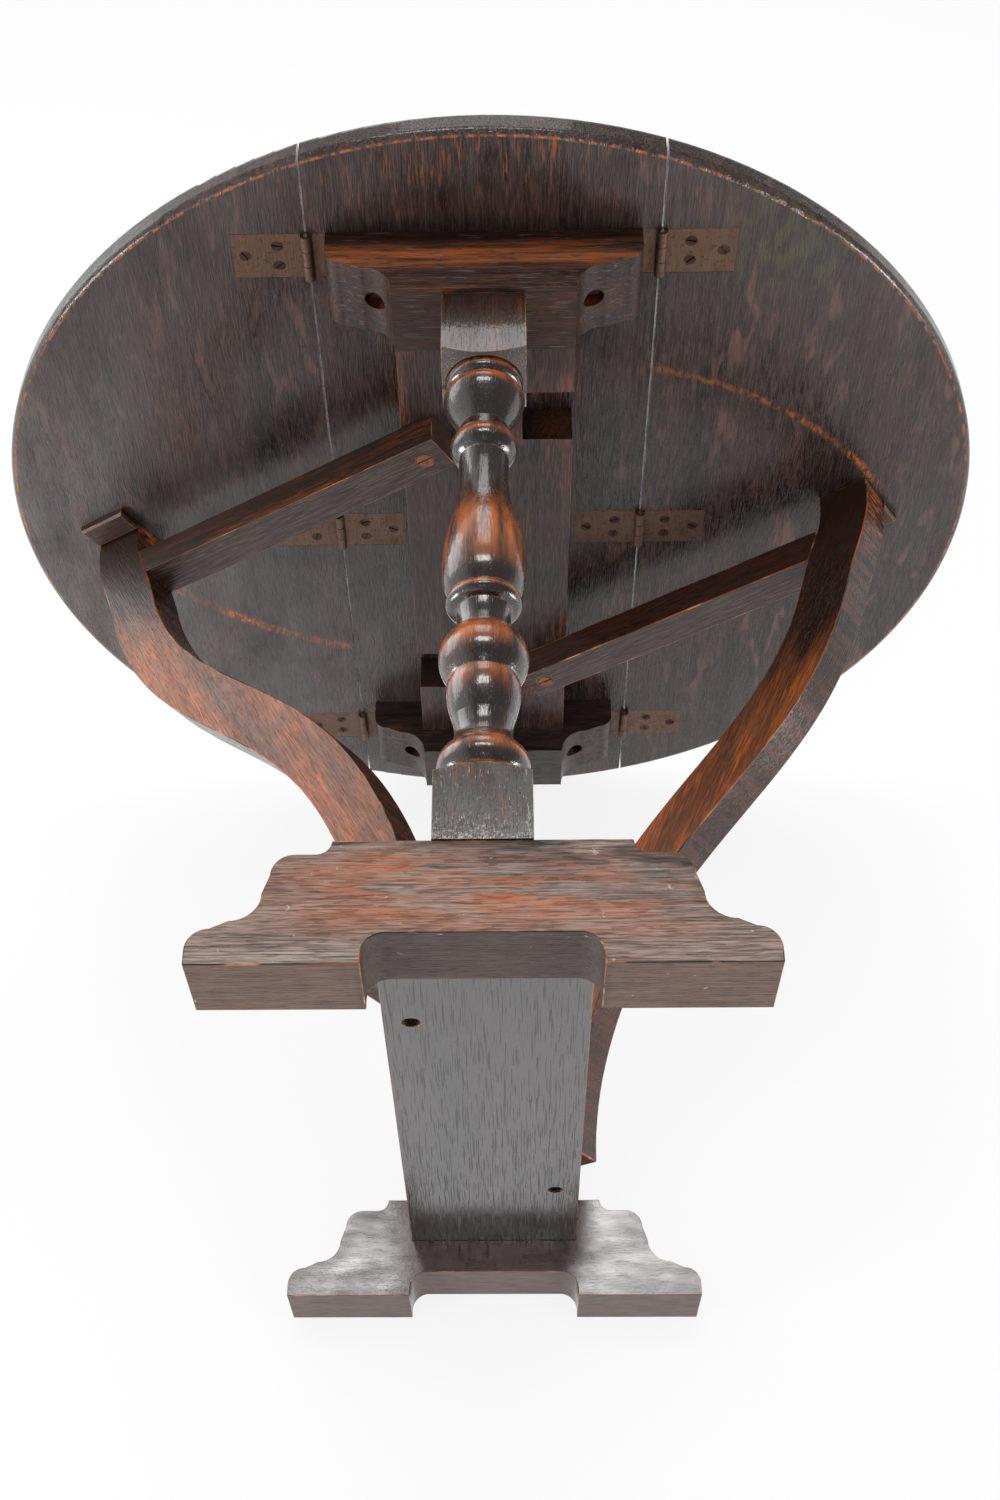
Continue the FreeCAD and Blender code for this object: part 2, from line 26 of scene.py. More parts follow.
# Camera, as fitted to the photograph
photo_width_px = 1000
photo_height_px = 1500
focal_px = 1895.6
middle_px = (470.9, 795.6)
camera_place = (922.0 * MM, 12.0 * MM, -365.4 * MM)
camera_pitch = 0.9955
camera_yaw = -0.0208
camera_roll = -0.0396
sensor_long_side_mm = 36.0
camera_reach = 50

# The gates' axes, the way each open gate points as an angle about Z from +X, and how far a leg leans from upright
gate_pivots = {"left": (108 * MM, -36 * MM), "right": (-108 * MM, 36 * MM)}
gate_headings = {"left": 180 + 58.0, "right": 56.0}
leg_lean_deg = 31.0
# Heights from which each leg is black, and how much each arm is rubbed
leg_black_from = {"left": 370 * MM, "right": 335 * MM}
arm_rubbed = {"left": 0.35, "right": 0.05}
post_axis_mm = (211, 0)

# Turns about X, Y and Z, in degrees, that lay a board's grain along one of the axes
GRAIN_X = ()
GRAIN_Y = ((0, 0, 90),)
GRAIN_Z = ((0, -90, 0),)

# Colours, as sRGB hex
SOOT_BROWN = "#0e0907"
FUMED_BROWN = "#291813"
# Grey of the oak's fibres, partly painted sheen where light skims them
FIBRE_GREY_AND_SHEEN = "#56443f"
STAIN_BROWN = "#2c1a13"
RED_BROWN = "#5a2a18"
LEG_BROWN = "#733f1e"
WORN_ORANGE = "#b35c1f"
WEATHERED_GREY = "#ac9a90"
WEATHERED_BROWN = "#94705e"
FOOT_BROWN = "#6b4f42"
BLOCK_GREEN = "#33332d"
BARE_OAK = "#d3925a"
RAY_RED = "#64423b"
# Grey of old wax: real lines of it on the near bearer, and under the top a film that is partly painted sheen
WAX_BLOOM_AND_SHEEN = "#6f6a68"
MOSS_STAIN = "#4f4a30"
PALE_DUST = "#c9c2ba"
BRASS_BROWN = "#604a3e"
BRASS_DARK = "#2a1d17"
BRASS_RUST = "#67463a"
BRASS_BRIGHT = "#b39a76"
SCREW_COPPER = "#8d5a42"
SCREW_DARK = "#4b3429"
PIN_STEEL = "#93877a"
PAPER_WHITE = "#fafafb"

# Tones of a piece: its dark clouds, its lighter ones and its fibres
TOP_TONES = (SOOT_BROWN, FUMED_BROWN, FIBRE_GREY_AND_SHEEN)
SHELF_TONES = (SOOT_BROWN, FUMED_BROWN, STAIN_BROWN)
RAIL_TONES = (SOOT_BROWN, STAIN_BROWN, RED_BROWN)
LEG_TONES = (STAIN_BROWN, LEG_BROWN, WORN_ORANGE)
FOOT_TONES = (WEATHERED_BROWN, WEATHERED_GREY, STAIN_BROWN)

# Each pattern has its marks' length, depth and width along the grain in mm, the levels of the noise where a mark
# begins and is full, and the noise's detail, distortion and seed
PATTERNS = {
    # In the wood. Oak's fibres are about 0.2 mm wide and its pores 0.3 mm, and both are drawn three times as wide or
    # more so that they show
    "clouds": ((220, 40, 40), 0.32, 0.70, 4.0, 0.0, 0.0),
    "rings": ((220, 4.0, 4.0), 0.38, 0.62, 3.0, 0.3, 3.0),
    "fibres": ((14, 1.0, 1.0), 0.47, 0.60, 2.0, 0.0, 9.0),
    "pores": ((9, 0.9, 0.9), 0.58, 0.63, 1.0, 0.0, 11.0),
    "ray_groups": ((160, 60, 60), 0.42, 0.58, 2.0, 0.0, 6.0),
    "rays": ((34, 8, 60), 0.58, 0.68, 1.5, 0.5, 5.0),
    # On every wooden piece: rubbed places, uneven handling, worn corners, and old shellac's dimples
    "rubbed": ((90, 34, 34), 0.60, 0.76, 4.0, 0.4, 17.0),
    "handled": ((26, 9, 9), 0.25, 0.75, 3.0, 0.0, 29.0),
    "corner_wear": ((16, 5, 5), 0.36, 0.58, 3.0, 0.0, 7.0),
    "bare_corners": ((22, 8, 8), 0.54, 0.64, 4.0, 0.0, 7.0),
    "orange_corners": ((60, 12, 12), 0.42, 0.66, 3.0, 0.0, 13.0),
    "dimples": ((1.8, 1.8, 1.8), 0.0, 1.0, 2.0, 0.0, 31.0),
    # Under the top, where the grey wax film is partly painted sheen
    "wax_film_and_sheen": ((60, 30, 30), 0.25, 0.65, 4.0, 0.0, 41.0),
    "end_rub": ((30, 5, 5), 0.54, 0.70, 4.0, 0.5, 43.0),
    "scrape_strokes": ((4, 2.0, 2.0), 0.40, 0.60, 3.0, 0.0, 47.0),
    "scrape_gaps": ((30, 30, 30), 0.25, 0.60, 2.0, 0.0, 49.0),
    "rim_chips": ((9, 4, 4), 0.44, 0.60, 4.0, 0.0, 53.0),
    "hinge_stain": ((14, 8, 8), 0.45, 0.60, 4.0, 0.0, 59.0),
    # On the gate legs
    "ragged_edge": ((60, 12, 12), 0.0, 1.0, 3.0, 0.0, 61.0),
    "red_sheen_bands": ((5, 60, 14), 0.45, 0.62, 4.0, 0.0, 65.0),
    "leg_scrapes": ((2.2, 14, 6), 0.48, 0.60, 3.0, 0.0, 67.0),
    # On the turned uprights and their blocks
    "duster_rub": ((30, 6, 6), 0.30, 0.60, 4.0, 0.0, 71.0),
    "green_mottle": ((14, 14, 14), 0.38, 0.62, 5.0, 0.5, 75.0),
    "nicks": ((8, 1.5, 1.5), 0.66, 0.70, 2.0, 1.0, 77.0),
    # On the near bearer
    "orange_streaks": ((60, 4, 4), 0.36, 0.62, 4.0, 0.3, 83.0),
    "wax_lines": ((16, 1.4, 1.4), 0.64, 0.68, 1.0, 0.0, 85.0),
    # On the near foot, whose weathered grain stands up in ridges
    "wavy_grain": ((40, 1.0, 1.0), 0.47, 0.60, 3.0, 0.4, 89.0),
    "raised_grain": ((20, 1.0, 1.0), 0.54, 0.64, 2.0, 0.5, 90.0),
    "kicked": ((50, 4.5, 4.5), 0.36, 0.60, 5.0, 0.8, 73.0),
    "soot": ((50, 6, 6), 0.35, 0.60, 4.0, 0.8, 91.0),
    "specks": ((4.5, 3.0, 3.0), 0.73, 0.76, 2.0, 1.0, 79.0),
    # On the metal: tarnish, the rolling's lines, which are finer than 0.8 mm in fact, and spots
    "tarnish": ((11, 11, 11), 0.38, 0.68, 4.0, 0.3, 0.0),
    "rolled_lines": ((9, 0.8, 0.8), 0.35, 0.70, 3.0, 0.0, 2.0),
    "spots": ((2.5, 2.5, 2.5), 0.56, 0.68, 2.0, 0.0, 4.0),
}


def linear(hex_colour):
    """Linear RGBA of an sRGB hex colour."""
    channels = []
    for start in (1, 3, 5):
        value = int(hex_colour[start:start + 2], 16) / 255
        channels.append(value / 12.92 if value <= 0.04045 else ((value + 0.055) / 1.055) ** 2.4)
    return (*channels, 1.0)


def add(tree, kind, feeds=None, **settings):
    """Adds a node: settings are its own options, feeds its sockets' values or the sockets wired to them."""
    node = tree.nodes.new("ShaderNode" + kind)
    for name, value in settings.items():
        setattr(node, name, value)
    for socket, value in (feeds or {}).items():
        if isinstance(value, bpy.types.NodeSocket):
            tree.links.new(value, node.inputs[socket])
        else:
            node.inputs[socket].default_value = value
    return node


def new_material(name):
    """Empty material with its node tree."""
    material = bpy.data.materials.new(name)
    material.use_nodes = True
    material.node_tree.nodes.clear()
    return material, material.node_tree


def meeting(tree, *masks):
    """Mask of where several masks meet: their product."""
    whole = masks[0]
    for mask in masks[1:]:
        whole = add(tree, "Math", {0: whole, 1: mask}, operation="MULTIPLY").outputs[0]
    return whole


def gathered(tree, *weighed):
    """Sum of several values, each with its weight."""
    whole = meeting(tree, *weighed[0])
    for value, weight in weighed[1:]:
        whole = add(tree, "Math", {0: whole, 1: meeting(tree, value, weight)}, operation="ADD").outputs[0]
    return whole


def painted(tree, base, over, *masks):
    """Colour with another, given in hex, laid over it where all the masks meet."""
    share = meeting(tree, *masks)
    return add(tree, "Mix", {0: share, 6: base, 7: linear(over)}, data_type="RGBA").outputs[2]


def own_axes(tree):
    """The piece's own X, Y and Z, in metres."""
    place = add(tree, "TexCoord").outputs["Object"]
    return add(tree, "SeparateXYZ", {0: place}).outputs


def beyond(tree, axis, empty_mm, full_mm):
    """Mask that rises along one of the piece's own axes, from 0 at one place to 1 at another."""
    place = own_axes(tree)[axis]
    return add(tree, "MapRange", {"Value": place, "From Min": empty_mm * MM, "From Max": full_mm * MM}).outputs[0]


def close_to(tree, value, middle, half_width, fade):
    """Mask of 1 where a value lies within half_width of its middle, fading out beyond."""
    from_middle = add(tree, "Math", {0: value, 1: middle}, operation="SUBTRACT").outputs[0]
    away = add(tree, "Math", {0: from_middle}, operation="ABSOLUTE").outputs[0]
    return add(tree, "MapRange", {"Value": away, "From Min": half_width + fade, "From Max": half_width}).outputs[0]


def slab(tree, axis, middle_mm, half_width_mm, fade_mm):
    """Mask of a band across one of the piece's own axes."""
    return close_to(tree, own_axes(tree)[axis], middle_mm * MM, half_width_mm * MM, fade_mm * MM)


def out_from(tree, axis_mm=(0, 0), mirrored=False):
    """Distance from an upright axis, or from the nearer of two that mirror each other."""
    place = add(tree, "TexCoord").outputs["Object"]
    if mirrored:
        place = add(tree, "VectorMath", {0: place}, operation="ABSOLUTE").outputs[0]
    centre = (axis_mm[0] * MM, axis_mm[1] * MM, 0)
    spoke = add(tree, "VectorMath", {0: place, 1: centre}, operation="SUBTRACT").outputs[0]
    level = add(tree, "VectorMath", {0: spoke, 1: (1, 1, 0)}, operation="MULTIPLY").outputs[0]
    return add(tree, "VectorMath", {0: level}, operation="LENGTH").outputs["Value"]


def outward(tree, empty_mm, full_mm, axis_mm=(0, 0), mirrored=False):
    """Mask that rises with the distance from an upright axis."""
    out = out_from(tree, axis_mm, mirrored)
    return add(tree, "MapRange", {"Value": out, "From Min": empty_mm * MM, "From Max": full_mm * MM}).outputs[0]


def facing(tree, direction, empty, full, either_way=False):
    """Mask of surfaces that face a direction of the room: 0 and 1 at two cosines of the angle to it."""
    normal = add(tree, "NewGeometry").outputs["Normal"]
    cosine = add(tree, "VectorMath", {0: normal, 1: direction}, operation="DOT_PRODUCT").outputs["Value"]
    if either_way:
        cosine = add(tree, "Math", {0: cosine}, operation="ABSOLUTE").outputs[0]
    return add(tree, "MapRange", {"Value": cosine, "From Min": empty, "From Max": full}).outputs[0]


def grain_space(tree, turn):
    """The piece's own coordinates, turned so that X runs along its grain."""
    place = add(tree, "TexCoord").outputs["Object"]
    for angles in turn:
        radians = tuple(math.radians(-angle) for angle in angles)
        place = add(tree, "Mapping", {"Vector": place, "Rotation": radians}).outputs[0]
    return place


def marks(tree, space, name, sizes_mm=None, earlier=0.0):
    """Mask of one of the patterns. Its marks can have other sizes, and can begin earlier, which makes them wider."""
    usual_mm, begin, full, detail, distortion, seed = PATTERNS[name]
    scale = tuple(1 / (size * MM) for size in sizes_mm or usual_mm)
    stretched = add(tree, "Mapping", {"Vector": space, "Scale": scale, "Location": (seed, seed, seed)}).outputs[0]
    noise = add(tree, "TexNoise", {"Vector": stretched, "Scale": 1.0, "Detail": detail,
                                   "Distortion": distortion}).outputs[0]
    return add(tree, "MapRange", {"Value": noise, "From Min": begin - earlier, "From Max": full}).outputs[0]


def worn_corners(tree, space, reach_mm, amount):
    """Mask of the corners within reach, broken up as handling wears them."""
    rounded = add(tree, "Bevel", {"Radius": reach_mm * MM}, samples=4).outputs[0]
    true_normal = add(tree, "NewGeometry").outputs["Normal"]
    agreement = add(tree, "VectorMath", {0: rounded, 1: true_normal}, operation="DOT_PRODUCT").outputs["Value"]
    corner = add(tree, "MapRange", {"Value": agreement, "From Min": 0.985, "From Max": 0.88}).outputs[0]
    return meeting(tree, corner, marks(tree, space, "corner_wear"), amount)


def oak(name, turn, tones, rubbed=0.3, rubbed_mm=None, rough=0.4, ior=1.5, coat=0.0, dimple_mm=0.0, pores=0.6,
        pore_mm=None, rays=0.0, ray_mm=None, fibre=0.5, arris=0.0, relief_mm=0.12, wear_shade_and_sheen=None):
    """Quarter-sawn oak under dark stain, to the eye a near-black board with fibre lines, ray flecks and open pores.

    Wax gives it a satin sheen and shellac, the coat, a wet one. A piece's own marking function adds its marks, some
    of them painted shade and painted sheen, and returns its colour and how much smoother it is there.
    """
    material, tree = new_material(name)
    space = grain_space(tree, turn)
    rings = marks(tree, space, "rings")
    fibres = marks(tree, space, "fibres")
    vessels = marks(tree, space, "pores", pore_mm)
    flecks = meeting(tree, marks(tree, space, "ray_groups"), marks(tree, space, "rays", ray_mm))
    patches = marks(tree, space, "rubbed", rubbed_mm, 0.25 * rubbed)
    streaks = gathered(tree, (rings, 0.35), (fibres, 0.65))
    rub_grain = gathered(tree, (fibres, 0.75), (rings, 0.35))

    colour = painted(tree, linear(tones[0]), tones[1], marks(tree, space, "clouds"))
    colour = painted(tree, colour, tones[2], streaks, fibre)
    colour = painted(tree, colour, RAY_RED, flecks, rays)
    colour = painted(tree, colour, WORN_ORANGE, patches, rub_grain, min(1.0, rubbed * 1.4))
    smoother = 0.0
    # A piece's own marks, among them painted shade and painted sheen on some pieces
    if wear_shade_and_sheen:
        colour, smoother = wear_shade_and_sheen(tree, space, colour, fibres)
    colour = painted(tree, colour, SOOT_BROWN, vessels, pores)
    if arris:
        colour = painted(tree, colour, BARE_OAK, worn_corners(tree, space, 1.2, arris))

    handled = marks(tree, space, "handled")
    sheen = add(tree, "MapRange", {"Value": handled, "To Min": rough - 0.07, "To Max": rough + 0.09}).outputs[0]
    open_pores = meeting(tree, vessels, pores)
    roughness = gathered(tree, (sheen, 1.0), (smoother, -1.0), (open_pores, 0.4))
    relief = gathered(tree, (fibres, 0.6), (vessels, -1.0), (handled, 0.8))
    bump = add(tree, "Bump", {"Strength": 0.6, "Distance": relief_mm * MM, "Height": relief}).outputs[0]
    if dimple_mm:
        # Old shellac is dimpled every millimetre or so, which breaks its highlights into specks
        dimples = marks(tree, space, "dimples")
        bump = add(tree, "Bump", {"Strength": 1.0, "Distance": dimple_mm * MM, "Height": dimples,
                                  "Normal": bump}).outputs[0]
    shader = add(tree, "BsdfPrincipled", {
        "Base Color": colour, "Roughness": roughness, "IOR": ior, "Normal": bump,
        "Coat Weight": coat, "Coat Roughness": 0.05, "Coat IOR": 1.5,
    })
    if coat:
        tree.links.new(bump, shader.inputs["Coat Normal"])
    add(tree, "OutputMaterial", {"Surface": shader.outputs[0]})
    return material


def worn_arris(name, turn, bare):
    """Corner of stained oak: to the eye a dark line that turns orange, and pale where the wood is bare."""
    material, tree = new_material(name)
    space = grain_space(tree, turn)
    colour = painted(tree, linear(STAIN_BROWN), WORN_ORANGE, marks(tree, space, "orange_corners"), 0.75)
    colour = painted(tree, colour, BARE_OAK, marks(tree, space, "bare_corners"), bare)
    shader = add(tree, "BsdfPrincipled", {"Base Color": colour, "Roughness": 0.3, "IOR": 1.5})
    add(tree, "OutputMaterial", {"Surface": shader.outputs[0]})
    return material


def aged_metal(name, main, stain, bright, corner, roughness):
    """Old rolled brass or drawn steel under brown tarnish, which leaves it dull, with stains and dirty or rubbed
    corners. The tarnish is no metal, so the whole is metallic in part."""
    material, tree = new_material(name)
    space = grain_space(tree, GRAIN_X)
    tarnish = marks(tree, space, "tarnish")
    spots = marks(tree, space, "spots")
    colour = painted(tree, linear(main), stain, tarnish)
    colour = painted(tree, colour, bright, marks(tree, space, "rolled_lines"), 0.15)
    colour = painted(tree, colour, BRASS_DARK, spots, 0.45)
    colour = painted(tree, colour, corner, worn_corners(tree, space, 0.6, 1.0))
    rough = add(tree, "MapRange", {"Value": tarnish, "To Min": roughness - 0.05,
                                   "To Max": roughness + 0.15}).outputs[0]
    relief = gathered(tree, (spots, 1.0), (tarnish, 1.0))
    bump = add(tree, "Bump", {"Strength": 0.4, "Distance": 0.1 * MM, "Height": relief}).outputs[0]
    shader = add(tree, "BsdfPrincipled", {"Base Color": colour, "Metallic": 0.7, "Roughness": rough, "Normal": bump})
    add(tree, "OutputMaterial", {"Surface": shader.outputs[0]})
    return material


def along_arm(side):
    """Turn that lays the grain along an open gate's arm."""
    return ((0, 0, gate_headings[side]),)


def along_leg(side):
    """Turn that lays the grain along an open gate's leg."""
    return ((0, 0, gate_headings[side]), (0, -(90 - leg_lean_deg), 0))


def top_wear_and_sheen(gate=None, scrape_mm=0.0, half_width_mm=0.0, first_deg=0.0, last_deg=0.0):
    """Wear and painted sheen under the top: a grey wax film that is partly painted sheen, most of it on the left leaf
    towards -X and some near the rim, rubbed ends, the arc that a gate scraped, a chipped rim and a mossy stain.
    """
    def paint(tree, space, colour, fibres):
        below = facing(tree, UP, -0.2, -0.6)
        # Grey wax film, partly painted sheen: most of it on the left leaf towards -X, some near the rim
        corner_film_and_sheen = meeting(tree, beyond(tree, 1, 100, -220), beyond(tree, 0, 220, 0))
        film_and_sheen = gathered(tree, (corner_film_and_sheen, 0.5), (outward(tree, 220, 310), 0.25))
        colour = painted(tree, colour, WAX_BLOOM_AND_SHEEN, film_and_sheen, below, marks(tree, space, "wax_film_and_sheen"))
        colour = painted(tree, colour, WORN_ORANGE, beyond(tree, 0, 235, 285), marks(tree, space, "end_rub"), fibres,
                         below, 0.5)
        if gate:
            arc = scraped_arc(tree, gate_pivots[gate], scrape_mm, half_width_mm, first_deg, last_deg)
            colour = painted(tree, colour, WORN_ORANGE, arc, marks(tree, space, "scrape_strokes"), below,
                             marks(tree, space, "scrape_gaps"))
        rim_line = close_to(tree, out_from(tree), 297.0 * MM, 0.3 * MM, 0.7 * MM)
        colour = painted(tree, colour, WORN_ORANGE, rim_line, marks(tree, space, "rim_chips"), below, 0.8)
        colour = painted(tree, colour, MOSS_STAIN, slab(tree, 0, 235, 20, 30), slab(tree, 1, 165, 15, 30),
                         marks(tree, space, "hinge_stain"), below, 0.7)
        return colour, meeting(tree, outward(tree, 295.5, 297.5), 0.2)
    return paint


def scraped_arc(tree, pivot, radius_mm, half_width_mm, first_deg, last_deg):
    """Mask of an arc about a gate's pivot, which grows stronger towards its last angle."""
    place = own_axes(tree)
    from_x = add(tree, "Math", {0: place[0], 1: pivot[0]}, operation="SUBTRACT").outputs[0]
    from_y = add(tree, "Math", {0: place[1], 1: pivot[1]}, operation="SUBTRACT").outputs[0]
    heading = add(tree, "Math", {0: from_y, 1: from_x}, operation="ARCTAN2").outputs[0]
    reach = out_from(tree, (pivot[0] / MM, pivot[1] / MM))
    line = close_to(tree, reach, radius_mm * MM, half_width_mm * MM, 2.6 * MM)
    swept = close_to(tree, heading, math.radians((first_deg + last_deg) / 2), math.radians(last_deg - first_deg) / 2,
                     0.06)
    harder = add(tree, "MapRange", {"Value": heading, "From Min": math.radians(first_deg - 30),
                                    "From Max": math.radians(last_deg)}).outputs[0]
    return meeting(tree, line, swept, harder)


def leg_wear_and_shade(side):
    """A leg's colour: black above a ragged height, where it meets the top, and at its lower end, orange on its flat
    sides, and on its curves painted shade, red grain bands that are partly painted sheen, and orange scrapes near the
    top.
    """
    def paint(tree, space, colour, fibres):
        uneven_height = gathered(tree, (own_axes(tree)[2], 1.0), (marks(tree, space, "ragged_edge"), 0.09))
        black_top = add(tree, "MapRange", {"Value": uneven_height, "From Min": leg_black_from[side],
                                           "From Max": leg_black_from[side] + 60 * MM}).outputs[0]
        colour = painted(tree, colour, SOOT_BROWN, black_top, 0.9)
        colour = painted(tree, colour, SOOT_BROWN, beyond(tree, 2, 75, 55), 0.8)
        heading = math.radians(gate_headings[side])
        curved = facing(tree, (math.cos(heading), math.sin(heading), 0), 0.25, 0.45, either_way=True)
        # Dark on the curved faces is painted shade
        colour = painted(tree, colour, SOOT_BROWN, curved, 0.85)
        # Red bands across the curves: grain colour, partly painted sheen
        colour = painted(tree, colour, RED_BROWN, curved, marks(tree, space, "red_sheen_bands"), 0.6)
        colour = painted(tree, colour, WORN_ORANGE, beyond(tree, 2, 385, 430), curved,
                         marks(tree, space, "leg_scrapes"), 0.8)
        return colour, meeting(tree, curved, 0.14)
    return paint


def arm_underside_and_sheen(tree, space, colour, fibres):
    """An arm's underside: darker brown, with grey along the fibres as painted sheen. Its upright faces keep the
    red-brown of the oak.
    """
    below = facing(tree, UP, -0.5, -0.9)
    colour = painted(tree, colour, FUMED_BROWN, below, 0.75)
    # Grey along the fibres underneath is painted sheen
    return painted(tree, colour, FIBRE_GREY_AND_SHEEN, below, fibres, 0.6), 0.0


def turned_wear_and_shade(tree, space, colour, fibres):
    """A turned upright's wear and painted shade: orange where a duster rubs the full parts, black in the hollows as
    dirt and painted shade, black underneath as painted shade, and green-grey with pale nicks on the low block."""
    turned = slab(tree, 2, 225.5, 122, 4)
    full = outward(tree, 12.5, 18.5, post_axis_mm, mirrored=True)
    hollow = outward(tree, 17.0, 14.0, post_axis_mm, mirrored=True)
    low_block = beyond(tree, 2, 102, 98)
    colour = painted(tree, colour, WORN_ORANGE, full, marks(tree, space, "duster_rub"),
                     facing(tree, UP, -0.25, 0.12), turned, 0.85)
    # Black in the hollows: dirt and painted shade
    colour = painted(tree, colour, SOOT_BROWN, hollow, turned, 0.7)
    # Black on the faces that look down: painted shade
    colour = painted(tree, colour, SOOT_BROWN, turned, facing(tree, UP, 0.0, -0.4), 0.6)
    colour = painted(tree, colour, BLOCK_GREEN, low_block, marks(tree, space, "green_mottle"), 0.8)
    return painted(tree, colour, WEATHERED_GREY, low_block, marks(tree, space, "nicks"), 0.6), 0.0


def bearer_wear(tree, space, colour, fibres):
    """A bearer's marks of use: red-orange streaks along the middle of its outer face, and lines of old wax."""
    colour = painted(tree, colour, WORN_ORANGE, slab(tree, 2, 420, 4, 8),
                     facing(tree, ALONG_X, 0.6, 0.9, either_way=True), marks(tree, space, "orange_streaks"), 0.7)
    return painted(tree, colour, WAX_BLOOM_AND_SHEEN, marks(tree, space, "wax_lines"), 0.4), 0.0


def near_foot_wear(tree, space, colour, fibres):
    """The near foot's weathering: raised grey grain on its upright faces, with orange where feet rub it, soot above
    and at one end, a brown underside and small pale specks."""
    upright = facing(tree, ALONG_X, 0.5, 0.9, either_way=True)
    level = add(tree, "Math", {0: 1.0, 1: upright}, operation="SUBTRACT").outputs[0]
    colour = painted(tree, colour, FOOT_BROWN, level)
    colour = painted(tree, colour, STAIN_BROWN, marks(tree, space, "wavy_grain"), 0.6)
    colour = painted(tree, colour, PALE_DUST, marks(tree, space, "raised_grain"), upright, 0.22)
    colour = painted(tree, colour, WORN_ORANGE, slab(tree, 1, 10, 50, 60), slab(tree, 2, 36, 8, 20), upright,
                     marks(tree, space, "kicked"), 0.85)
    place = own_axes(tree)
    slanted_height = gathered(tree, (place[2], 1.0), (place[1], 0.25))
    one_end = add(tree, "MapRange", {"Value": slanted_height, "From Min": 34 * MM, "From Max": 64 * MM}).outputs[0]
    sooty = add(tree, "Math", {0: one_end, 1: beyond(tree, 2, 50, 60)}, operation="MAXIMUM").outputs[0]
    colour = painted(tree, colour, SOOT_BROWN, sooty, upright, marks(tree, space, "soot"), 0.88)
    colour = painted(tree, colour, SOOT_BROWN, slab(tree, 1, 0, 49, 6), level, 0.6)
    return painted(tree, colour, PALE_DUST, marks(tree, space, "specks"), 0.6), 0.0


def far_foot_wear(tree, space, colour, fibres):
    """The far foot's marks of use: polished upright faces and a dull brown underside."""
    below = facing(tree, UP, -0.4, -0.8)
    between_fibres = add(tree, "Math", {0: 1.0, 1: fibres}, operation="SUBTRACT").outputs[0]
    colour = painted(tree, colour, STAIN_BROWN, below)
    return painted(tree, colour, FOOT_BROWN, below, between_fibres, 0.7), meeting(tree, below, -0.40)


def shelf_wear(tree, space, colour, fibres):
    """The shelf's marks of use: its long edges are dull, while its faces are waxed."""
    return colour, meeting(tree, facing(tree, ALONG_Y, 0.5, 0.9, either_way=True), -0.45)


def dress(names, material):
    """Gives the named pieces of the model one material."""
    for name in names:
        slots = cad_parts[name].data.materials
        for index in range(len(slots)):
            slots[index] = material


def soften(names, width_mm, arris):
    """Breaks the sharp arrises of wooden pieces, as planing and years of handling do, in a material of their own."""
    for name in names:
        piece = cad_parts[name]
        piece.data.materials.append(arris)
        weld = piece.modifiers.new("joined_corners", "WELD")
        weld.merge_threshold = 0.001 * MM
        # Flat faces come in triangles, whose short sides would hold the bevel back
        flat = piece.modifiers.new("whole_faces", "DECIMATE")
        flat.decimate_type = "DISSOLVE"
        flat.angle_limit = math.radians(0.5)
        bevel = piece.modifiers.new("broken_arris", "BEVEL")
        bevel.width = width_mm * MM
        bevel.segments = 2
        bevel.limit_method = "ANGLE"
        bevel.angle_limit = math.radians(35)
        bevel.material = len(piece.data.materials) - 1
        shading = piece.modifiers.new("even_shading", "WEIGHTED_NORMAL")
        shading.weight = 80


# The top's boards are fumed oak under old wax: near black and satin, with grey fibres that are partly painted sheen
# where light skims them, and red-brown ray flecks
top_finish = {"rubbed": 0.1, "rough": 0.23, "pores": 0.35, "relief_mm": 0.2}
dress(["top_centre_board"], oak("fumed_oak_top_waxed", GRAIN_X, TOP_TONES, rays=0.6, wear_shade_and_sheen=top_wear_and_sheen(), **top_finish))
dress(["leaf_board_left"], oak("fumed_oak_left_leaf_waxed", GRAIN_X, TOP_TONES, rays=0.5,
                               wear_shade_and_sheen=top_wear_and_sheen("left", 242.0, 2.2, -166.0, -135.0), **top_finish))
dress(["leaf_board_right"], oak("fumed_oak_right_leaf_waxed", GRAIN_X, TOP_TONES, rays=0.8,
                                wear_shade_and_sheen=top_wear_and_sheen("right", 250.0, 0.6, 15.0, 54.0), **top_finish))
dress(["centre_batten"], oak("fumed_oak_batten_waxed", GRAIN_X, TOP_TONES, rough=0.33, pores=0.35, rays=0.3))

# The shelf is the same oak with its pores left open: grey in the light, with dark dashes. Its wax is thick and
# mirrors more than wood does, so its IOR is above wax's 1.5
dress(["shelf_board"], oak("fumed_oak_shelf_waxed", GRAIN_X, SHELF_TONES, rubbed=0.0, rough=0.18, ior=2.15, pores=1.0,
                           pore_mm=(26, 0.65, 0.65), fibre=0.4, arris=0.4, relief_mm=0.15, wear_shade_and_sheen=shelf_wear))

# The bearers are stained oak, satin from wax, and rubbed red-orange in front
bearer_finish = {"rubbed": 0.2, "rubbed_mm": (70, 14, 14), "rough": 0.36}
dress(["bearer_near"], oak("stained_oak_bearer_rubbed", GRAIN_Y, RAIL_TONES, wear_shade_and_sheen=bearer_wear, **bearer_finish))
dress(["bearer_far"], oak("stained_oak_bearer_waxed", GRAIN_Y, TOP_TONES, **bearer_finish))

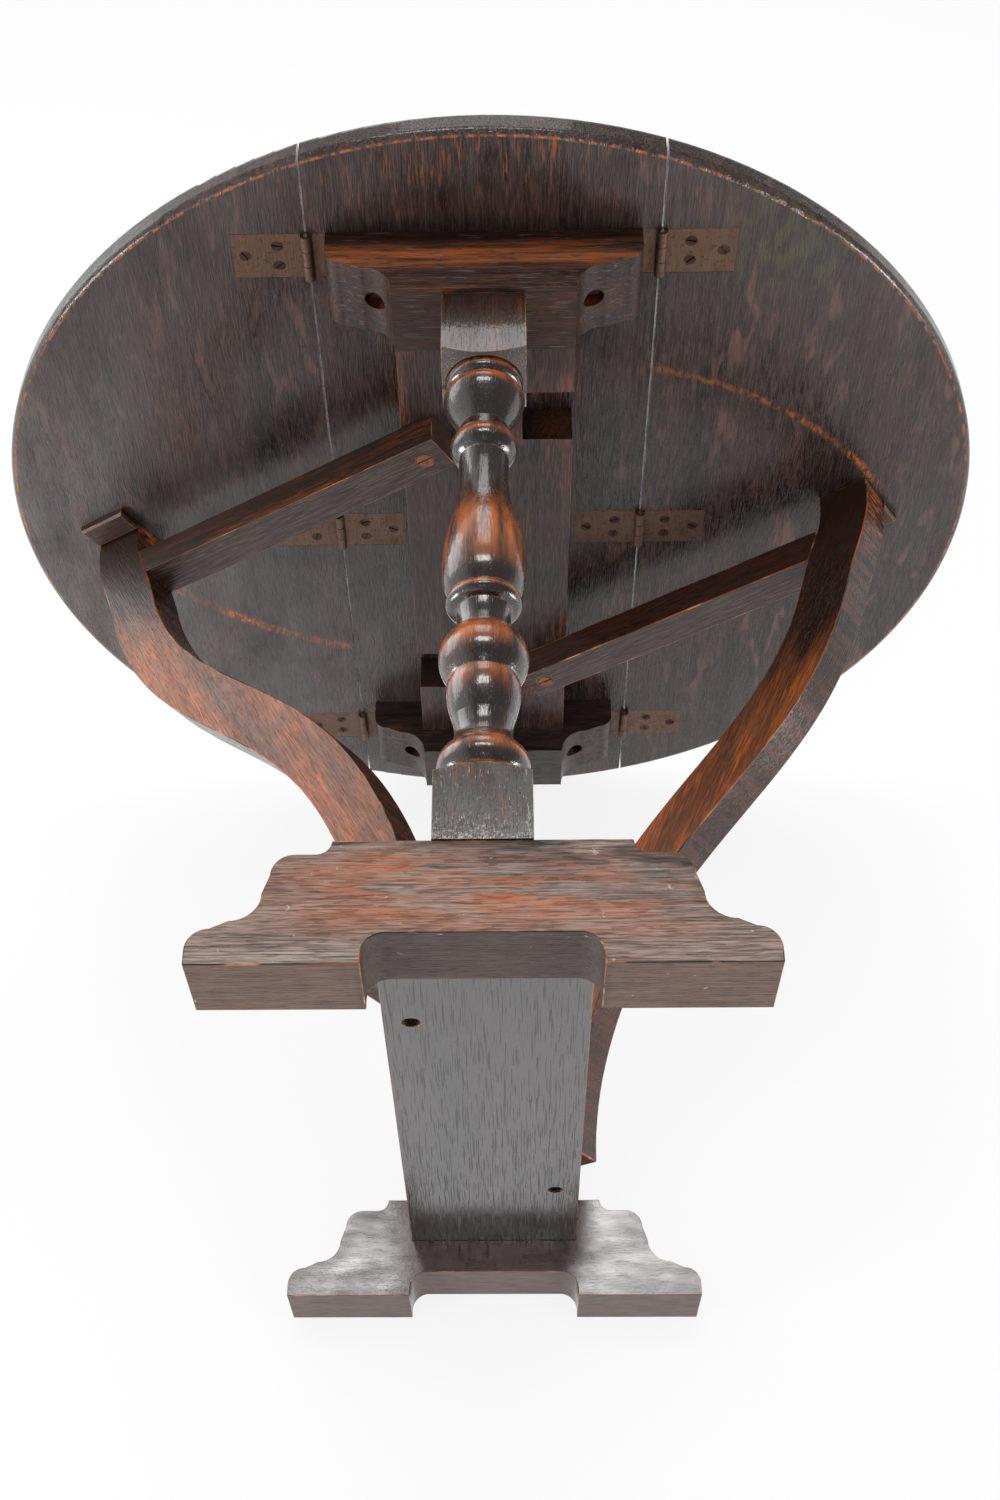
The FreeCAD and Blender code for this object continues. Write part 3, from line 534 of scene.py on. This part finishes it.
# The near foot has lost its stain: grey, dull and ridged. The far one is polished, and mirrors the light like glass
foot_rubbed_mm = (60, 8, 8)
dress(["foot_near"], oak("stained_oak_foot_weathered", GRAIN_Y, FOOT_TONES, 0.2, foot_rubbed_mm, rough=0.46,
                         pores=0.3, fibre=0.4, relief_mm=0.35, wear_shade_and_sheen=near_foot_wear))
dress(["foot_far"], oak("stained_oak_foot_polished", GRAIN_Y, RAIL_TONES, 0.1, foot_rubbed_mm, rough=0.22, ior=2.0,
                        dimple_mm=0.035, pores=0.05, relief_mm=0.01, wear_shade_and_sheen=far_foot_wear))

# The uprights are turned oak under shellac: wet highlights on every ring, over a grain that hardly shows
dress(["baluster_near", "baluster_far"],
      oak("turned_oak_shellac", GRAIN_Z, RAIL_TONES, 0.3, (40, 20, 20), rough=0.22, coat=1.0, dimple_mm=0.03,
          pores=0.3, fibre=0.3, relief_mm=0.05, arris=0.6, wear_shade_and_sheen=turned_wear_and_shade))

# The gates are stained oak, satin and rubbed orange where hands take them
for side in ("left", "right"):
    dress(["gate_arm_" + side], oak("stained_oak_%s_arm" % side, along_arm(side), RAIL_TONES, arm_rubbed[side],
                                    (80, 10, 10), rough=0.36, pores=0.3, wear_shade_and_sheen=arm_underside_and_sheen))
    dress(["gate_leg_" + side], oak("stained_oak_%s_leg" % side, along_leg(side), LEG_TONES, 0.7, (70, 16, 16),
                                    rough=0.34, pores=0.2, fibre=0.32, rays=0.6, ray_mm=(8, 60, 3.6),
                                    wear_shade_and_sheen=leg_wear_and_shade(side)))
    dress(["gate_dowel_" + side, "stop_block_" + side],
          oak("fumed_oak_%s_stop" % side, along_arm(side), RAIL_TONES, arris=0.6))
    soften(["gate_arm_" + side], 1.0, worn_arris("oak_%s_arm_arris" % side, along_arm(side), 0.8))
    soften(["gate_leg_" + side], 0.8, worn_arris("oak_%s_leg_arris" % side, along_leg(side), 0.6))

# Hinge plates of rolled brass gone brown, steel pins rubbed bright, and brass screws, dark in the plates and coppery
# in the wood
plates = [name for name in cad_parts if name.startswith("hinge_plate")]
pins = [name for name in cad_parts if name.startswith("hinge_pin")]
plate_screws = [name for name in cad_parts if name.startswith("hinge_screws")]
wood_screws = [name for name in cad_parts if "screw" in name and name not in plate_screws]
dress(plates, aged_metal("hinge_brass_tarnished", BRASS_BROWN, BRASS_RUST, BRASS_BRIGHT, SOOT_BROWN, 0.45))
dress(pins, aged_metal("hinge_pin_steel_worn", PIN_STEEL, BRASS_BROWN, BRASS_BRIGHT, BRASS_BRIGHT, 0.35))
dress(plate_screws, aged_metal("screw_brass_darkened", SCREW_DARK, BRASS_DARK, BRASS_RUST, BRASS_DARK, 0.45))
dress(wood_screws, aged_metal("screw_brass_coppery", SCREW_COPPER, BRASS_RUST, BRASS_BRIGHT, BRASS_DARK, 0.45))

soften(["bearer_near", "bearer_far"], 0.8, worn_arris("oak_bearer_arris", GRAIN_Y, 0.5))
# The closing legs pass the batten's notches within half a millimetre, so its arrises are chamfered wider
soften(["centre_batten"], 1.8, worn_arris("oak_batten_arris", GRAIN_X, 0.3))
soften(["shelf_board"], 0.8, worn_arris("oak_shelf_arris", GRAIN_X, 0.3))
soften(["foot_near", "foot_far"], 1.2, worn_arris("oak_foot_arris", GRAIN_Y, 0.9))

# Each softbox has its direction from the table's middle, its distance, width and height in metres, and its
# brightness, where 1 is white
SOFTBOXES = {
    "overhead_softbox": ((0.66, 0.0, 0.75), 1.7, 0.7, 0.7, 2.5),
    "front_softbox": ((0.95, 0.0, 0.28), 1.7, 0.8, 0.3, 9.0),
    "camera_side_softbox": ((0.88, 0.0, -0.45), 1.6, 0.10, 0.30, 12.0),
    "window_softbox": ((0.20, -0.85, 0.50), 1.6, 1.0, 1.0, 2.1),
    "left_low_softbox": ((0.02, -0.87, -0.48), 1.5, 0.50, 0.50, 17.0),
    "right_low_softbox": ((0.02, 0.87, -0.48), 1.5, 0.50, 0.50, 14.0),
}
lamp_target = (0, 0, 0.25)


def softbox(name, direction, distance, width, height, brightness):
    """Flat white lamp of a given brightness, aimed at the table's middle and not seen itself."""
    light = bpy.data.lights.new(name, "AREA")
    light.shape = "RECTANGLE"
    light.size = width
    light.size_y = height
    light.energy = math.pi * width * height * brightness
    lamp = bpy.data.objects.new(name, light)
    lamp.location = Vector(lamp_target) + Vector(direction).normalized() * distance
    lamp.rotation_euler = (Vector(lamp_target) - lamp.location).to_track_quat("-Z", "Y").to_euler()
    lamp.visible_camera = False
    bpy.context.collection.objects.link(lamp)


def photo_camera():
    """Camera at the photograph's place, turned as it was."""
    forward = Vector((
        -math.sin(camera_pitch) * math.cos(camera_yaw),
        math.sin(camera_yaw),
        math.cos(camera_pitch) * math.cos(camera_yaw),
    ))
    right = forward.cross(Vector(ALONG_X)).normalized()
    up = right.cross(forward)
    rolled_right = right * math.cos(camera_roll) + up * math.sin(camera_roll)
    rolled_up = up * math.cos(camera_roll) - right * math.sin(camera_roll)
    lens = bpy.data.cameras.new("photo_camera")
    lens.sensor_width = sensor_long_side_mm
    lens.sensor_height = sensor_long_side_mm
    lens.lens = focal_px / photo_height_px * sensor_long_side_mm
    lens.shift_x = (photo_width_px / 2 - middle_px[0]) / photo_height_px
    lens.shift_y = (middle_px[1] - photo_height_px / 2) / photo_height_px
    lens.clip_end = camera_reach
    camera = bpy.data.objects.new("photo_camera", lens)
    turn = Matrix((rolled_right, rolled_up, -forward)).transposed().to_4x4()
    camera.matrix_world = Matrix.Translation(camera_place) @ turn
    bpy.context.collection.objects.link(camera)
    bpy.context.scene.camera = camera


def ray_kinds(tree, *kinds):
    """1 for rays of any of these kinds."""
    path = add(tree, "LightPath")
    found = path.outputs[kinds[0]]
    for kind in kinds[1:]:
        found = add(tree, "Math", {0: found, 1: path.outputs[kind]}, operation="MAXIMUM").outputs[0]
    return found


def paper_floor():
    """White paper on which the table stands on its rim and its far foot, seen from above only."""
    material, tree = new_material("studio_paper")
    diffuse = add(tree, "BsdfDiffuse", {"Color": linear(PAPER_WHITE)}).outputs[0]
    glow = add(tree, "Emission", {"Color": linear(PAPER_WHITE), "Strength": 1.03}).outputs[0]
    # What the camera sees is mostly the paper's own white, and the lit rest keeps the table's shadow
    seen = ray_kinds(tree, "Is Camera Ray", "Is Glossy Ray", "Is Transmission Ray")
    lit = add(tree, "MixShader", {0: meeting(tree, seen, 0.85), 1: diffuse, 2: glow}).outputs[0]
    nothing = add(tree, "BsdfTransparent").outputs[0]
    behind = add(tree, "NewGeometry").outputs["Backfacing"]
    surface = add(tree, "MixShader", {0: behind, 1: lit, 2: nothing}).outputs[0]
    add(tree, "OutputMaterial", {"Surface": surface})

    # The photographed table lies tipped on the rim of its top and the heel of its far foot
    rim = Vector((-0.300, 0, 0.449))
    heel = Vector((-0.232, 0, 0.0))
    slope = (rim - heel).normalized()
    normal = Vector((slope.z, 0, -slope.x))
    across = Vector(ALONG_Y)
    half_size = 8.0
    centre = heel - normal * 0.001
    corners = [centre + slope * (half_size * a) + across * (half_size * b)
               for a, b in ((-1, -1), (-1, 1), (1, 1), (1, -1))]
    mesh = bpy.data.meshes.new("studio_floor")
    mesh.from_pydata([tuple(corner) for corner in corners], [], [(0, 1, 2, 3)])
    if mesh.polygons[0].normal.dot(normal) < 0:
        mesh.flip_normals()
    mesh.materials.append(material)
    floor = bpy.data.objects.new("studio_floor", mesh)
    bpy.context.collection.objects.link(floor)


def studio_walls():
    """White walls and ceiling with a dim room beside the camera, where polish mirrors it, and a darker floor."""
    world = bpy.data.worlds.new("white_studio")
    world.use_nodes = True
    tree = world.node_tree
    tree.nodes.clear()
    towards = add(tree, "TexCoord").outputs["Generated"]
    room = add(tree, "VectorMath", {0: towards, 1: (0.8, 0.6, 0.0)}, operation="DOT_PRODUCT").outputs["Value"]
    mirrored = add(tree, "MapRange", {"Value": room, "From Min": 0.0, "From Max": 0.4, "To Min": 1.0,
                                      "To Max": 0.3}).outputs[0]
    above = add(tree, "VectorMath", {0: towards, 1: (0.54, 0.0, 0.84)}, operation="DOT_PRODUCT").outputs["Value"]
    fill = add(tree, "MapRange", {"Value": above, "From Min": -0.5, "From Max": 0.6, "To Min": 0.15,
                                  "To Max": 0.95}).outputs[0]
    strength = add(tree, "Mix", {0: ray_kinds(tree, "Is Glossy Ray"), 2: fill, 3: mirrored}).outputs[0]
    seen = ray_kinds(tree, "Is Camera Ray", "Is Transmission Ray")
    strength = add(tree, "Math", {0: strength, 1: seen}, operation="MAXIMUM").outputs[0]
    background = add(tree, "Background", {"Color": linear(PAPER_WHITE), "Strength": strength})
    add(tree, "OutputWorld", {0: background.outputs[0]})
    bpy.context.scene.world = world


photo_camera()
paper_floor()
studio_walls()
for name, settings in SOFTBOXES.items():
    softbox(name, *settings)
bpy.context.scene.view_settings.view_transform = "Standard"
